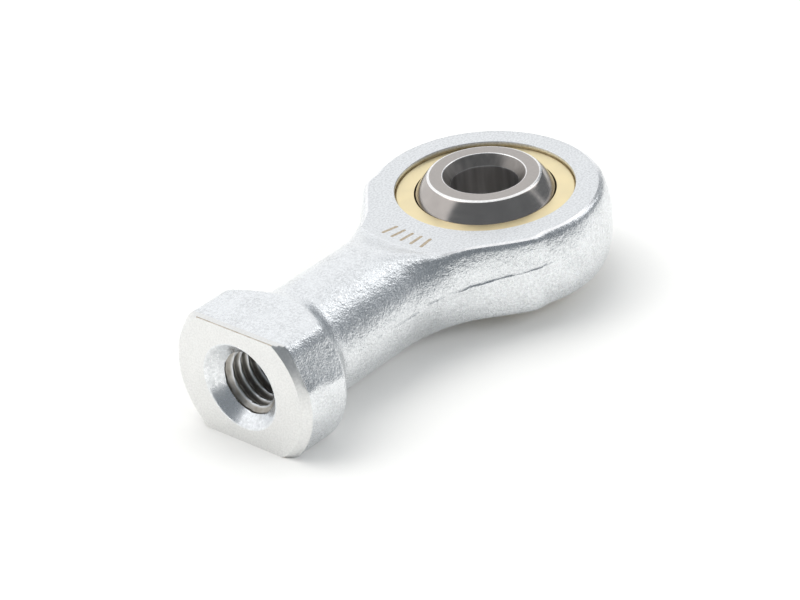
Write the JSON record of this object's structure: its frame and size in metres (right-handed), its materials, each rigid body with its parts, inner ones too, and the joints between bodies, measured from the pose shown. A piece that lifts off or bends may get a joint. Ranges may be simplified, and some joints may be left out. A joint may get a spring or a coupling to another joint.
{
  "type": "rod end bearing",
  "caption": "Rod end with female thread: a swivelling steel ball in a lined brass race, pressed into a forged housing with wrench flats on its collar.",
  "frame": {"origin": "centre of the ball", "axes": "+Z along the axis of the ball's bore; the shank runs along -X to its threaded mouth"},
  "size_m": [0.0361, 0.0182, 0.009],
  "materials": {
    "housing": "forged steel with bright zinc plating, turned satin on the head's faces, the end face and the flats",
    "race": "turned brass, satin",
    "liner": "bonded PTFE fabric, matte",
    "ball": "polished bearing steel with ground end faces"
  },
  "bodies": {
    "housing_body": {"housing": "housing", "race": "race"},
    "liner_body": {"liner": "liner"},
    "ball_body": {"ball": "ball"}
  },
  "joints": [
    {"name": "ball_spin", "type": "hinge", "parent": "housing_body", "child": "liner_body", "pos_m": [0, 0, 0], "axis": [0, 0, 1], "continuous": true},
    {"name": "ball_tilt", "type": "hinge", "parent": "liner_body", "child": "ball_body", "pos_m": [0, 0, 0], "axis": [0, 1, 0], "range_deg": [-13, 13]}
  ]
}
